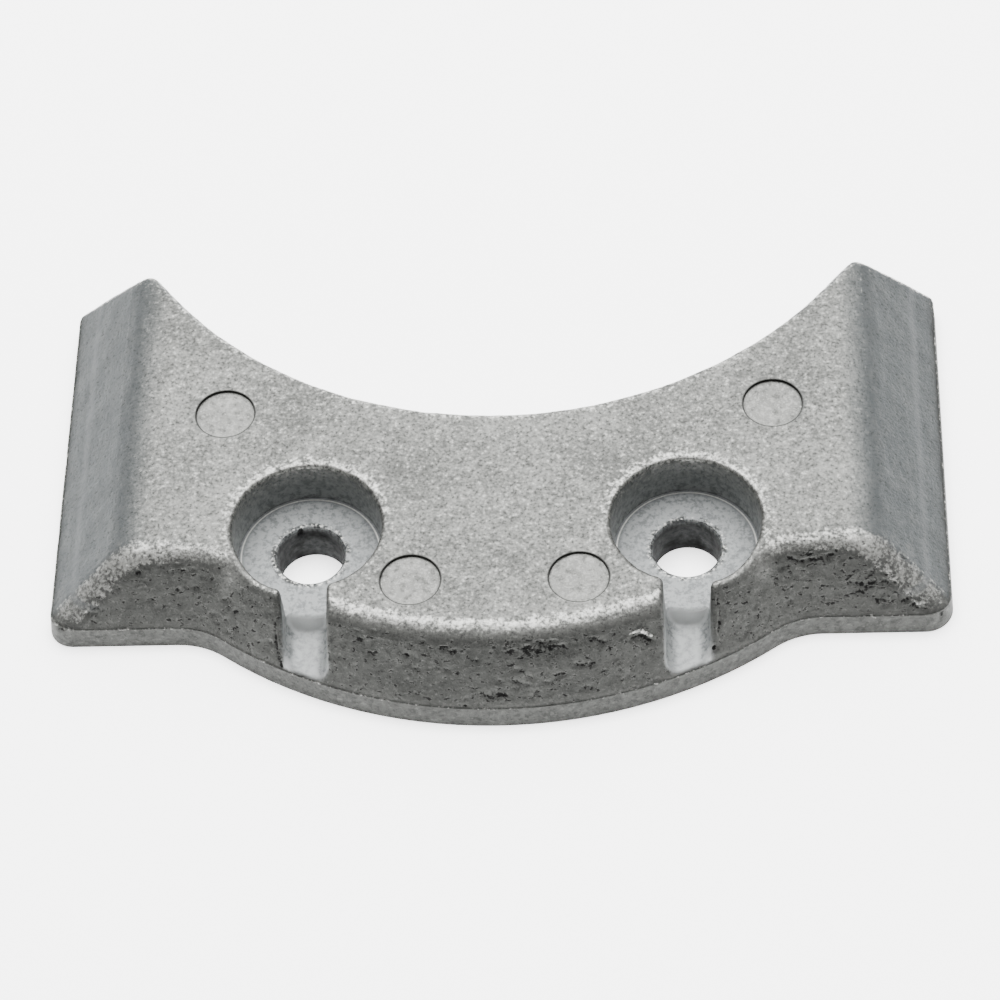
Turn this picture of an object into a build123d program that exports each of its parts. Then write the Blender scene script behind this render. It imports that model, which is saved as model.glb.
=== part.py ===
from build123d import *
import os
from math import radians, tan

os.makedirs("parts", exist_ok=True)

# Outboard-motor anode: one casting, bolted down through two counterbored holes.
# Millimetres and degrees. The origin is midway between the bolt holes, on the flat
# mounting face; +Y points to the hollow saddle side and +Z to the top.

# Plan of the mounting face
overall_width = 120.0
end_front = 10.1  # bolt line to the straight front edge of each end
end_back = 45.5  # bolt line to the back face of each end
bulge_radius = 62.5
bulge_front = 23.9  # bolt line to the foremost point of the bulge
bulge_blend = 10.6  # hollow blend from the bulge into the straight front edges
front_corner = 3.2
worn_corner = 3.8  # the right front corner, knocked back in handling
back_corner = 2.0
saddle_radius = 56.3
saddle_front = 19.1  # bolt line to the deepest point of the saddle

# Heights and slopes
overall_height = 12.5
lip_height = 3.2
lip_draft = 6.0
lip_step = 0.15  # the upper body stands this far inside the top of the lip
front_slope = 32.0  # from vertical
flank_slope = 40.5  # from horizontal
saddle_draft = 2.0

# Roundings of the upper body
flank_round = 10.0
front_round = 4.4
saddle_round = 0.8
horn_round = 2.0  # upright edge where the saddle meets the back face of an end

# Bolt holes and their counterbores, sized at the counterbore floor
bolt_pitch = 50.0
bolt_hole_radius = 4.5
bolt_rim_chamfer = 0.3
counterbore_radius = 9.65
counterbore_floor = 5.9
pocket_draft = 2.5
pocket_rim_round = 0.65

# Relief channel, running forward from each counterbore and out through the front wall
channel_half_width = 2.85
channel_floor = 3.6
channel_corner = 2.0
channel_neck = 1.2  # plan rounding where the counterbore opens into the channel
step_slope = 20.0  # from vertical, down from the counterbore floor into the channel
step_top_round = 0.6
step_foot_round = 0.5

# Ejector pin marks
pin_radius = 4.0
pin_depth = 0.35
outer_pin = (36.8, 19.15)
inner_pin = (11.0, -9.15)

# Worked out from the above
upper_height = overall_height - lip_height
lip_inset = lip_height * tan(radians(lip_draft)) + lip_step
bolt_holes = [(-bolt_pitch / 2, 0), (bolt_pitch / 2, 0)]
pins = [(side * x, y) for x, y in (outer_pin, inner_pin) for side in (-1, 1)]
clear = 30.0  # how far a cutting or trimming shape reaches past the casting
near = 0.01  # tolerance for finding corners and edges


def front_plan(half_width, back, inset):
    """Fill the plan of the casting without its saddle, set back from the front by inset."""
    front = -end_front + inset
    with Locations((0, bulge_radius - bulge_front)):
        Circle(bulge_radius - inset)
    with Locations((0, -bulge_front)):
        Rectangle(
            2 * half_width,
            back + bulge_front,
            align=(Align.CENTER, Align.MIN),
            mode=Mode.INTERSECT,
        )
    with Locations((0, front)):
        Rectangle(2 * half_width, back - front, align=(Align.CENTER, Align.MIN))


def line_corners(sketch, y):
    """Group the corners on the line at y by their distance from the middle."""
    return sketch.vertices().filter_by(lambda v: abs(v.Y - y) < near).group_by(lambda v: abs(v.X))


def single_edges(faces):
    """Give the edges that bound only one of the faces."""
    return [e for e in faces.edges() if len([f for f in faces if e in f.edges()]) == 1]


# The shape cut away at each bolt: counterbore and relief channel in one piece
with BuildPart() as pocket:
    # Round-bottomed channel with leaning walls
    top_half_width = channel_half_width + overall_height * tan(radians(pocket_draft))
    channel_depth = counterbore_floor - channel_floor
    floor_half_width = channel_half_width - channel_depth * tan(radians(pocket_draft))
    with BuildSketch(Plane.XZ) as channel_section:
        with BuildLine():
            Polyline(
                (-floor_half_width, channel_floor),
                (floor_half_width, channel_floor),
                (top_half_width, counterbore_floor + overall_height),
                (-top_half_width, counterbore_floor + overall_height),
                close=True,
            )
        make_face()
        fillet(channel_section.vertices().group_by(Axis.Y)[0], channel_corner)
    extrude(amount=bulge_front + clear)

    # The seat of the bolt head stays whole, with a softened step down into the channel
    with BuildSketch(Plane.XZ):
        with BuildLine():
            seat = Line((0, counterbore_floor), (counterbore_radius, counterbore_floor))
            crest = JernArc(seat @ 1, seat % 1, step_top_round, step_slope - 90)
            slope = PolarLine(crest @ 1, 2 * channel_depth, direction=crest % 1)
            Polyline(slope @ 1, (0, (slope @ 1).Y), seat @ 0)
        make_face()
    revolve(axis=Axis.Z, mode=Mode.SUBTRACT)
    crest_foot = counterbore_floor - step_top_round / 2
    step_foot = pocket.edges().filter_by(
        lambda e: e.center().Y > -counterbore_radius - channel_depth and e.center().Z < crest_foot
    )
    fillet(step_foot, step_foot_round)

    # Counterbore and channel above the floor
    with BuildSketch(Plane.XY.offset(counterbore_floor)) as pocket_plan:
        Rectangle(2 * channel_half_width, bulge_front + clear, align=(Align.CENTER, Align.MAX))
        Circle(counterbore_radius)
        necks = pocket_plan.vertices().filter_by(lambda v: -counterbore_radius < v.Y < -near)
        fillet(necks, channel_neck)
    extrude(amount=overall_height, taper=-pocket_draft)


with BuildPart() as anode_body:
    # Upper body: the sloping front wall, rising from the top of the lip
    with BuildSketch(Plane.XY.offset(lip_height)) as front_foot:
        front_plan(overall_width / 2 + clear, end_back + clear, lip_inset)
        throats = front_foot.vertices().group_by(Axis.Y)[0]
        fillet(throats.filter_by(lambda v: abs(v.X) < overall_width / 2), bulge_blend + lip_inset)
    extrude(amount=upper_height, taper=front_slope)

    # The two flanks slope down to the ends
    with BuildSketch(Plane.XZ):
        with Locations((0, lip_height)):
            Trapezoid(
                overall_width - 2 * lip_inset,
                upper_height,
                flank_slope,
                align=(Align.CENTER, Align.MIN),
            )
    extrude(amount=overall_width, both=True, mode=Mode.INTERSECT)

    # The saddle and the back faces of the ends
    with BuildSketch(Plane.XY.offset(lip_height)):
        with Locations((0, end_back - lip_inset)):
            Rectangle(
                overall_width + clear,
                end_back + bulge_front + clear,
                align=(Align.CENTER, Align.MAX),
            )
        with Locations((0, saddle_front + saddle_radius)):
            Circle(saddle_radius + lip_inset, mode=Mode.SUBTRACT)
    extrude(amount=upper_height, taper=saddle_draft, mode=Mode.INTERSECT)

    # Shoulders, between the top and the flanks
    fillet(anode_body.edges().filter_by(Axis.Y).group_by(Axis.Z)[-1], flank_round)

    # Brow, along the top of the front wall and down both flanks
    lip_line = anode_body.edges().group_by(Axis.Z)[0]
    front_faces = anode_body.faces().filter_by(lambda f: f.normal_at().Y < -0.3)
    fillet([e for e in single_edges(front_faces) if e not in lip_line], front_round)

    # Horns and the thin rounding along the saddle and the back faces
    upright = anode_body.edges().filter_by(lambda e: abs(e.tangent_at(0.5).Z) > 0.9)
    fillet(upright.filter_by(lambda e: e.center().Y > end_back - horn_round), horn_round)
    lip_line = anode_body.edges().group_by(Axis.Z)[0]
    back_faces = anode_body.faces().filter_by(lambda f: f.normal_at().Y > 0.3)
    fillet([e for e in single_edges(back_faces) if e not in lip_line], saddle_round)

    # The lip round the foot, down to the mounting face
    with BuildSketch() as foot:
        front_plan(overall_width / 2, end_back, 0)
        with Locations((0, saddle_front + saddle_radius)):
            Circle(saddle_radius, mode=Mode.SUBTRACT)
        fillet(line_corners(foot, -end_front)[0], bulge_blend)
        fillet(line_corners(foot, -end_front)[-1].sort_by(Axis.X)[0], front_corner)
        fillet(line_corners(foot, -end_front)[-1].sort_by(Axis.X)[-1], worn_corner)
        fillet(line_corners(foot, end_back)[0], horn_round)
        fillet(line_corners(foot, end_back)[-1], back_corner)
    extrude(amount=lip_height, taper=lip_draft)

    # Counterbores with their relief channels
    with Locations(*bolt_holes):
        add(pocket.part, mode=Mode.SUBTRACT)
    pocket_rims = anode_body.edges(Select.NEW)
    fillet(pocket_rims, pocket_rim_round)

    # Bolt holes
    with Locations(Plane.XY.offset(counterbore_floor)):
        with Locations(*bolt_holes):
            Hole(bolt_hole_radius)
    hole_rims = anode_body.edges(Select.NEW).group_by(Axis.Z)[-1]
    chamfer(hole_rims, bolt_rim_chamfer)

    # Ejector pin marks
    with BuildSketch(Plane.XY.offset(overall_height - pin_depth)):
        with Locations(*pins):
            Circle(pin_radius)
    extrude(amount=pin_depth, mode=Mode.SUBTRACT)

anode_body.part.label = "anode_body"
export_step(anode_body.part, "parts/anode_body.step")
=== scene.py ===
"""Dresses a cast sacrificial anode: its as-cast skin with painted light and shade, a pale floor, soft
light and the camera.
"""

import functools
import itertools
import logging
import math
import operator
from dataclasses import dataclass, field
from enum import Enum, auto
from typing import ClassVar

import bpy
import numpy as np
from mathutils import Matrix, Vector
from mathutils.geometry import delaunay_2d_cdt
from mathutils.kdtree import KDTree

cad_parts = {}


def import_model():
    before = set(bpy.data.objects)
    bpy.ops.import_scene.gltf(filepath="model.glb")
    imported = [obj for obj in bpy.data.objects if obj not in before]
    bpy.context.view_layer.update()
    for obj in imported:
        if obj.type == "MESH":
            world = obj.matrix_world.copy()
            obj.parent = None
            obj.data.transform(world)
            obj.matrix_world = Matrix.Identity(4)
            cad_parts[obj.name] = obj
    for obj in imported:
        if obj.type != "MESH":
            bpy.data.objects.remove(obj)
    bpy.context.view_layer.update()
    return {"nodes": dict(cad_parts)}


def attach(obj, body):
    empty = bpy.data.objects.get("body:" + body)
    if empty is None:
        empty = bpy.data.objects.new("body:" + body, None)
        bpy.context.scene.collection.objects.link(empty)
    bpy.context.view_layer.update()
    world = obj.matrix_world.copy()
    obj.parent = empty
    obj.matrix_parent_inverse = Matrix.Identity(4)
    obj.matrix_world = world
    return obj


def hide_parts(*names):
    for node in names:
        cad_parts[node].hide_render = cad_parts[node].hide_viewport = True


log = logging.getLogger("anode")

NODE = "anode_body"
PER_METRE = 1000.0  # the casting's own code works in millimetres
BOLT_SIDE = 25.0  # from the middle to each bolt
SADDLE_MIDDLE = 75.4  # from the bolts back to the saddle's axis
TINY = 1e-9  # stands in for zero under a division line
LATTICE = 256  # slopes in one draw of noise
FULL_SWING = 1.6  # brings gradient noise to about -1 to 1
LAYER_SHIFT = 31.7  # moves each layer of noise away from the one before
KEEP_ALL = 2  # the triangulation's way that keeps every side of the outline
MERGE = 1e-7  # the triangulation joins points that are closer than this
BATCH = 4096  # triangles that are tested against the outline at once
TRIANGLE_HEIGHT = math.sqrt(0.75)  # of an even triangle with sides of one
WHITE = (1.0, 1.0, 1.0)


def unit(vectors: np.ndarray) -> np.ndarray:
    """Scales each vector to length one.

    Args:
        vectors: Array whose last axis holds x, y and z.

    Returns:
        The array with unit vectors, and zero where there was no length.
    """
    length = np.linalg.norm(vectors, axis=-1, keepdims=True)
    return vectors / np.maximum(length, TINY)


def dot(a: np.ndarray, b: np.ndarray) -> np.ndarray:
    """Multiplies two arrays of vectors, pair by pair, to numbers."""
    return np.sum(a * b, axis=-1)


@dataclass(frozen=True)
class Rise:
    """A smooth rise from 0 to its top, or a fall where the end lies below the start.

    Attributes:
        start: Where it leaves 0.
        end: Where it reaches its top.
        top: The value that it reaches.
    """

    start: float
    end: float
    top: float = 1.0

    def over(self, values: np.ndarray) -> np.ndarray:
        """Gives the height of the rise at each value."""
        share = np.clip((values - self.start) / (self.end - self.start), 0.0, 1.0)
        return self.top * share * share * (3.0 - 2.0 * share)


class Grain:
    """Repeatable gradient noise in space, for relief that is worked out per vertex."""

    def __init__(self, seed: int) -> None:
        """Draws the lattice of slopes.

        Args:
            seed: Start of the random draw.
        """
        draw = np.random.default_rng(seed)
        self.order = draw.permutation(LATTICE)
        self.slopes = unit(draw.normal(size=(LATTICE, 3)))

    def at(self, points: np.ndarray, size: float) -> np.ndarray:
        """Gives noise of one size.

        Args:
            points: Places, in millimetres.
            size: Width of one lump, in millimetres.

        Returns:
            Numbers from about -1 to 1.
        """
        spots = points / size
        base = np.floor(spots).astype(int)
        part = spots - base
        smooth = part**3 * (part * (part * 6.0 - 15.0) + 10.0)
        total = np.zeros(len(points))
        for corner in itertools.product((0, 1), repeat=3):
            place = (base + corner) % LATTICE
            step = self.order[place[:, 0]]
            step = self.order[(step + place[:, 1]) % LATTICE]
            step = self.order[(step + place[:, 2]) % LATTICE]
            weight = np.prod(np.where(corner, smooth, 1.0 - smooth), axis=1)
            total += weight * dot(self.slopes[step], part - corner)
        return total * FULL_SWING

    def layered(self, points: np.ndarray, size: float, layers: int) -> np.ndarray:
        """Adds up noise of halving sizes and strengths.

        Args:
            points: Places, in millimetres.
            size: Width of the largest lumps, in millimetres.
            layers: Number of sizes.

        Returns:
            Numbers from about -2 to 2.
        """
        return sum(self.at(points + LAYER_SHIFT * k, size / 2**k) / 2**k for k in range(layers))


@dataclass
class SkinMesh:
    """A triangle mesh with a normal at each corner, which can be cut finer on its true curve.

    Attributes:
        points: Vertices, in millimetres.
        faces: Vertex numbers, three a face.
        normals: Normals, three a face.
        flats: Number of the flat that each face belongs to, or -1 on a curved surface.
    """

    SAME_CURVE: ClassVar[float] = 0.999  # cosine between normals of one smooth surface
    NEAR_CURVE: ClassVar[float] = 0.9  # the same, where a vertex takes its neighbour's normal
    KEPT_FACING: ClassVar[float] = 0.8  # cosine that a moved face keeps to its normals
    LEVEL: ClassVar[float] = 0.99999  # cosine of a normal on a flat
    LONG_SIDE: ClassVar[float] = 0.6  # sides over this share of the longest are cut with it
    CREASE: ClassVar[float] = 0.03  # squared sine over which an edge is a crease
    MOST_BOW: ClassVar[float] = 0.15  # highest bow of an edge, as a share of its length
    NORMAL_STEPS: ClassVar[float] = 50.0  # fineness to which normals are told apart
    MIDDLE_BOW: ClassVar[float] = 1.0 / 8.0  # bow in the middle of a curve, by its slopes' change
    STEEP: ClassVar[float] = 0.7  # y of a normal over which the flat's side line is taken from x
    JOIN_DIGITS: ClassVar[int] = 4  # vertices are one if they agree to these decimals
    PLANE_DIGITS: ClassVar[int] = 3  # the same for the normals of a flat
    OFFSET_DIGITS: ClassVar[int] = 2  # the same for its distance from the origin

    points: np.ndarray
    faces: np.ndarray
    normals: np.ndarray
    flats: np.ndarray

    @classmethod
    def from_object(cls, thing: bpy.types.Object, flat_area: float) -> "SkinMesh":
        """Reads an object's mesh, joins its vertices and finds its large flats.

        Args:
            thing: Object with a mesh of triangles.
            flat_area: Smallest flat worth tiling anew, in square millimetres.

        Returns:
            The skin of the object.
        """
        mesh = thing.data
        mesh.calc_loop_triangles()
        count = len(mesh.loop_triangles)
        places = np.empty(len(mesh.vertices) * 3)
        mesh.vertices.foreach_get("co", places)
        corners = np.empty(count * 3, int)
        mesh.loop_triangles.foreach_get("vertices", corners)
        loops = np.empty(count * 3, int)
        mesh.loop_triangles.foreach_get("loops", loops)
        slopes = np.empty(len(mesh.loops) * 3)
        mesh.corner_normals.foreach_get("vector", slopes)
        places = places.reshape(-1, 3) * PER_METRE
        found = np.unique(places.round(cls.JOIN_DIGITS), axis=0, return_index=True, return_inverse=True)
        _, first, joined = found
        faces = joined.ravel()[corners].reshape(-1, 3)
        normals = unit(slopes.reshape(-1, 3)[loops].reshape(-1, 3, 3))
        skin = cls(places[first], faces, normals, np.full(count, -1))
        skin.drop_slivers()
        skin.find_flats(flat_area)
        return skin

    def drop_slivers(self) -> None:
        """Leaves out faces that use one vertex twice."""
        a, b, c = self.faces.T
        whole = (a != b) & (b != c) & (c != a)
        self.faces, self.normals = self.faces[whole], self.normals[whole]
        self.flats = self.flats[whole]

    def cross(self, points: np.ndarray) -> np.ndarray:
        """Gives each face's normal, with twice its area for length."""
        a, b, c = (points[self.faces[:, k]] for k in range(3))
        return np.cross(b - a, c - a)

    def thin_out(self, shortest: float) -> None:
        """Merges the vertices of the curved surfaces that lie closer than shortest.

        Args:
            shortest: Edges under this length go, in millimetres.
        """
        faces = [list(face) for face in self.faces.tolist()]
        around = [set() for _ in self.points]
        for number, face in enumerate(faces):
            for corner in face:
                around[corner].add(number)
        ends, _, _, _ = self.edges()
        length = np.linalg.norm(self.points[ends[:, 1]] - self.points[ends[:, 0]], axis=1)
        short = np.argsort(length)[: int(np.sum(length < shortest))]
        for a, b in ends[short].tolist():
            for gone, kept in ((a, b), (b, a)):
                if self.merge(faces, around, gone, kept, shortest):
                    break
        alive = np.array([face is not None for face in faces])
        self.faces = np.array([face for face in faces if face is not None])
        self.normals, self.flats = self.normals[alive], self.flats[alive]

    def merge(
        self,
        faces: list[list[int] | None],
        around: list[set[int]],
        gone: int,
        kept: int,
        shortest: float,
    ) -> bool:
        """Moves one vertex onto its neighbour, if that harms nothing.

        Args:
            faces: Vertex numbers of each face, or None where it has gone.
            around: Faces round each vertex.
            gone: Vertex to take away; it has to lie inside one curved surface.
            kept: Neighbour that takes its place.
            shortest: Length under which an edge counts as short.

        Returns:
            Whether the vertex was merged.
        """
        shared = around[gone] & around[kept]
        if len(shared) != 2 or np.linalg.norm(self.points[gone] - self.points[kept]) > shortest:
            return False
        ring = list(around[gone])
        slopes = np.array([self.normals[f, faces[f].index(gone)] for f in ring])
        if np.any(self.flats[ring] >= 0) or np.min(slopes @ slopes[0]) < self.SAME_CURVE:
            return False
        beside = {corner for f in ring for corner in faces[f]}
        if len(beside & {corner for f in around[kept] for corner in faces[f]}) != 4:
            return False
        choices = np.array([self.normals[f, faces[f].index(kept)] for f in around[kept]])
        slope = choices[np.argmax(choices @ slopes[0])]
        if slope @ slopes[0] < self.NEAR_CURVE:
            return False
        for f in around[gone] - shared:
            a, b, c = (self.points[kept if corner == gone else corner] for corner in faces[f])
            cross = np.cross(b - a, c - a)
            if cross @ self.normals[f].mean(axis=0) < self.KEPT_FACING * np.linalg.norm(cross):
                return False
        for f in shared:
            for corner in faces[f]:
                around[corner].discard(f)
            faces[f] = None
        for f in around[gone]:
            turn = faces[f].index(gone)
            faces[f][turn] = kept
            self.normals[f, turn] = slope
            around[kept].add(f)
        around[gone] = set()
        return True

    def find_flats(self, flat_area: float) -> None:
        """Numbers the large flats.

        Args:
            flat_area: Area that a flat has to be over, in square millimetres.
        """
        cross = self.cross(self.points)
        plane = unit(cross)
        level = np.all(dot(self.normals, plane[:, None, :]) > self.LEVEL, axis=1)
        offset = dot(plane, self.points[self.faces[:, 0]])
        key = np.column_stack((plane.round(self.PLANE_DIGITS), offset.round(self.OFFSET_DIGITS)))
        _, group = np.unique(key, axis=0, return_inverse=True)
        group = group.ravel()
        size = np.linalg.norm(cross[level], axis=1) / 2.0
        area = np.bincount(group[level], size, group.max() + 1)
        self.flats = np.where(level & (area[group] > flat_area), group, -1)

    def edges(self) -> tuple[np.ndarray, np.ndarray, np.ndarray, np.ndarray]:
        """Lists the edges.

        Returns:
            The two ends of each edge, the edge of each face side, and the first and last
            face side on each edge, numbered as three times the face plus the side.
        """
        sides = np.sort(self.faces[:, [[0, 1], [1, 2], [2, 0]]], axis=2).reshape(-1, 2)
        keys = sides[:, 0] * len(self.points) + sides[:, 1]
        _, first, index = np.unique(keys, return_index=True, return_inverse=True)
        index = index.ravel()
        last = np.zeros(len(first), int)
        last[index] = np.arange(len(keys))
        return sides[first], index.reshape(-1, 3), first, last

    def side_rise(self, side: np.ndarray, ends: np.ndarray) -> tuple[np.ndarray, np.ndarray]:
        """Works out how an edge bows, from the normals on one side of it.

        Args:
            side: Face sides, one an edge.
            ends: The two ends of each edge.

        Returns:
            The way from the middle of each edge to the curve, and the normal there.
        """
        face, turn = np.divmod(side, 3)
        start, stop = self.normals[face, turn], self.normals[face, (turn + 1) % 3]
        swap = (self.faces[face, turn] != ends[:, 0])[:, None]
        start, stop = np.where(swap, stop, start), np.where(swap, start, stop)
        span = self.points[ends[:, 1]] - self.points[ends[:, 0]]
        bow = dot(span, stop)[:, None] * stop - dot(span, start)[:, None] * start
        return bow * self.MIDDLE_BOW, unit(start + stop)

    def middles(self, ends: np.ndarray, first: np.ndarray, last: np.ndarray) -> np.ndarray:
        """Places the middle of each edge on the curve that the normals give.

        Args:
            ends: The two ends of each edge.
            first: The first face side on each edge.
            last: The last face side on each edge.

        Returns:
            The middles.
        """
        bow_a, normal_a = self.side_rise(first, ends)
        bow_b, normal_b = self.side_rise(last, ends)
        rise_a, rise_b = dot(bow_a, normal_a), dot(bow_b, normal_b)
        lean = dot(normal_a, normal_b)
        rest = np.maximum(1.0 - lean**2, TINY)
        part_a = ((rise_a - lean * rise_b) / rest)[:, None] * normal_a
        part_b = ((rise_b - lean * rise_a) / rest)[:, None] * normal_b
        bow = np.where((rest > self.CREASE)[:, None], part_a + part_b, (bow_a + bow_b) / 2.0)
        low, high = self.points[ends[:, 0]], self.points[ends[:, 1]]
        reach = self.MOST_BOW * np.linalg.norm(high - low, axis=1, keepdims=True)
        bow *= np.minimum(1.0, reach / np.maximum(np.linalg.norm(bow, axis=1, keepdims=True), TINY))
        return (low + high) / 2.0 + bow

    def cut_once(self, tiling: "Tiling") -> int:
        """Cuts the long edges in two.

        Args:
            tiling: Says how long an edge may be.

        Returns:
            The number of edges cut.
        """
        ends, index, first, last = self.edges()
        low, high = self.points[ends[:, 0]], self.points[ends[:, 1]]
        length = np.linalg.norm(high - low, axis=1)
        worth = length[index] > self.LONG_SIDE * length[index].max(axis=1, keepdims=True)
        chosen = np.zeros(len(ends), bool)
        chosen[index[worth]] = True
        chosen &= length > tiling.edge_length((low + high) / 2.0)
        within = (self.flats[first // 3] == self.flats[last // 3]) & (self.flats[first // 3] >= 0)
        chosen &= ~within
        if not chosen.any():
            return 0
        fresh = self.middles(ends[chosen], first[chosen], last[chosen])
        number = np.full(len(ends), -1)
        number[chosen] = len(self.points) + np.arange(len(fresh))
        self.points = np.vstack((self.points, fresh))
        self.replace_cut_faces(chosen[index], number[index])
        return int(chosen.sum())

    def replace_cut_faces(self, marks: np.ndarray, number: np.ndarray) -> None:
        """Puts two, three or four faces in place of each face with cut sides.

        Args:
            marks: Whether each side of each face is cut.
            number: The new vertex on each cut side.
        """
        between = unit(self.normals + np.roll(self.normals, -1, axis=1))
        count = marks.sum(axis=1)
        parts = [(self.faces[count == 0], self.normals[count == 0], self.flats[count == 0])]
        for cuts in (1, 2, 3):
            rows = np.nonzero(count == cuts)[0]
            if not len(rows):
                continue
            turn = np.argmax(marks[rows], axis=1)
            if cuts > 1:
                turn = (np.argmin(marks[rows], axis=1) + 1) % 3
            order = (turn[:, None] + np.arange(3)) % 3
            pick = rows[:, None]
            names = np.concatenate((self.faces[pick, order], number[pick, order]), axis=1)
            slopes = np.concatenate((self.normals[pick, order], between[pick, order]), axis=1)
            far = np.linalg.norm(self.points[names[:, 3]] - self.points[names[:, 2]], axis=1)
            near = np.linalg.norm(self.points[names[:, 0]] - self.points[names[:, 4]], axis=1)
            for corners, use in self.patterns(cuts, far < near):
                corners = list(corners)
                parts.append((names[use][:, corners], slopes[use][:, corners], self.flats[rows[use]]))
        self.faces, self.normals, self.flats = (np.concatenate(part) for part in zip(*parts))

    @staticmethod
    def patterns(cuts: int, short: np.ndarray) -> list[tuple[tuple[int, int, int], np.ndarray]]:
        """Lists the faces that take the place of one, by its number of cut sides.

        Args:
            cuts: Number of cut sides: corners are 0 to 2 and the side middles 3 to 5.
            short: Where the first of the two diagonals is the shorter.

        Returns:
            Corner numbers of each new face, and the faces that it is for.
        """
        every = np.ones(len(short), bool)
        if cuts == 1:
            return [((0, 3, 2), every), ((3, 1, 2), every)]
        if cuts == 2:
            return [
                ((3, 1, 4), every),
                ((0, 3, 2), short),
                ((3, 4, 2), short),
                ((0, 3, 4), ~short),
                ((0, 4, 2), ~short),
            ]
        return [((0, 3, 5), every), ((3, 1, 4), every), ((5, 4, 2), every), ((3, 4, 5), every)]

    def refine(self, tiling: "Tiling") -> None:
        """Cuts the curved surfaces finer, then tiles the flats anew.

        Args:
            tiling: How fine.
        """
        while self.cut_once(tiling):
            pass
        for flat in np.unique(self.flats[self.flats >= 0]):
            self.tile_flat(flat, tiling)

    def tile_flat(self, flat: int, tiling: "Tiling") -> None:
        """Fills one flat with even triangles inside its present outline.

        Args:
            flat: Number of the flat.
            tiling: Gives the spacing and the fill.
        """
        rows = np.nonzero(self.flats == flat)[0]
        sides = self.faces[rows][:, [[0, 1], [1, 2], [2, 0]]].reshape(-1, 2)
        found = np.unique(np.sort(sides, axis=1), axis=0, return_index=True, return_counts=True)
        _, first, count = found
        outline = sides[first[count == 1]]
        normal = self.normals[rows[0], 0]
        beside = (1.0, 0.0, 0.0) if abs(normal[1]) > self.STEEP else (0.0, 1.0, 0.0)
        along = unit(np.cross(normal, beside))
        across = np.cross(normal, along)
        names, local = np.unique(outline, return_inverse=True)
        local = local.reshape(-1, 2)
        rim = np.column_stack((self.points[names] @ along, self.points[names] @ across))
        level = float(np.mean(self.points[names] @ normal))
        inner = tiling.fill(rim, local, self.points[names].mean(axis=0))
        spots, faces = tiling.triangulate(rim, local, inner)
        added = spots[len(names) :]
        fresh = added[:, :1] * along + added[:, 1:] * across + level * normal
        lookup = np.concatenate((names, len(self.points) + np.arange(len(added))))
        self.points = np.vstack((self.points, fresh))
        keep = self.flats != flat
        self.faces = np.vstack((self.faces[keep], lookup[faces]))
        self.normals = np.vstack((self.normals[keep], np.broadcast_to(normal, (len(faces), 3, 3))))
        self.flats = np.concatenate((self.flats[keep], np.full(len(faces), flat)))

    def smooth_corners(self) -> np.ndarray:
        """Numbers the corners so that those that share a vertex and a normal share a number.

        Returns:
            One number a corner.
        """
        slopes = (self.normals.reshape(-1, 3) * self.NORMAL_STEPS).round()
        key = np.column_stack((self.faces.ravel(), slopes))
        _, number = np.unique(key.astype(int), axis=0, return_inverse=True)
        return number.ravel()

    def gathered(self, cross: np.ndarray, number: np.ndarray) -> np.ndarray:
        """Averages the face normals round each smooth corner.

        Args:
            cross: Normal of each face, with twice its area for length.
            number: One number a corner, shared by corners that are smooth together.

        Returns:
            A normal at each corner.
        """
        total = np.zeros((number.max() + 1, 3))
        for k in range(3):
            np.add.at(total, number.reshape(-1, 3)[:, k], cross)
        return unit(total)[number].reshape(-1, 3, 3)

    def lift_lines(self) -> np.ndarray:
        """Gives each vertex the mean of the normals round it.

        Returns:
            The lines that the vertices are lifted along.
        """
        total = np.zeros_like(self.points)
        weight = np.linalg.norm(self.cross(self.points), axis=1)[:, None]
        for k in range(3):
            np.add.at(total, self.faces[:, k], self.normals[:, k] * weight)
        return unit(total)

    def bend(self) -> np.ndarray:
        """Works out how much the skin rounds outward.

        Returns:
            The bend at each vertex, in one over millimetres.
        """
        cross = self.cross(self.points)
        double = np.maximum(np.linalg.norm(cross, axis=1, keepdims=True), TINY)
        spread = np.zeros(len(self.faces))
        for k in range(3):
            start, stop = self.faces[:, (k + 1) % 3], self.faces[:, (k + 2) % 3]
            across = self.points[stop] - self.points[start]
            spread += dot(np.cross(cross / double, across) / double, self.normals[:, k])
        total, weight = np.zeros(len(self.points)), np.zeros(len(self.points))
        for k in range(3):
            np.add.at(total, self.faces[:, k], spread * double[:, 0])
            np.add.at(weight, self.faces[:, k], double[:, 0])
        return total / np.maximum(weight, TINY)

    def soften(self, values: np.ndarray, rounds: int) -> np.ndarray:
        """Evens out numbers over the skin.

        Args:
            values: One number a vertex.
            rounds: How many times each is moved half way to the mean of its neighbours.

        Returns:
            The softened numbers.
        """
        ends, size = self.edges()[0], len(self.points)
        count = np.maximum(np.bincount(ends.ravel(), minlength=size), 1)
        for _ in range(rounds):
            total = np.bincount(ends[:, 0], values[ends[:, 1]], size)
            total += np.bincount(ends[:, 1], values[ends[:, 0]], size)
            values = 0.5 * values + 0.5 * total / count
        return values

    def displace(
        self, lift: np.ndarray, height: np.ndarray, low: np.ndarray, high: np.ndarray
    ) -> None:
        """Moves the vertices and turns the normals with them.

        Args:
            lift: The line that each vertex moves along.
            height: How far each moves, in millimetres.
            low: Lowest corner of the box that they stay in.
            high: Highest corner of that box.
        """
        number = self.smooth_corners()
        before = self.gathered(self.cross(self.points), number)
        self.points = np.clip(self.points + lift * height[:, None], low, high)
        after = self.gathered(self.cross(self.points), number)
        self.normals = unit(self.normals + after - before)

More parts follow.
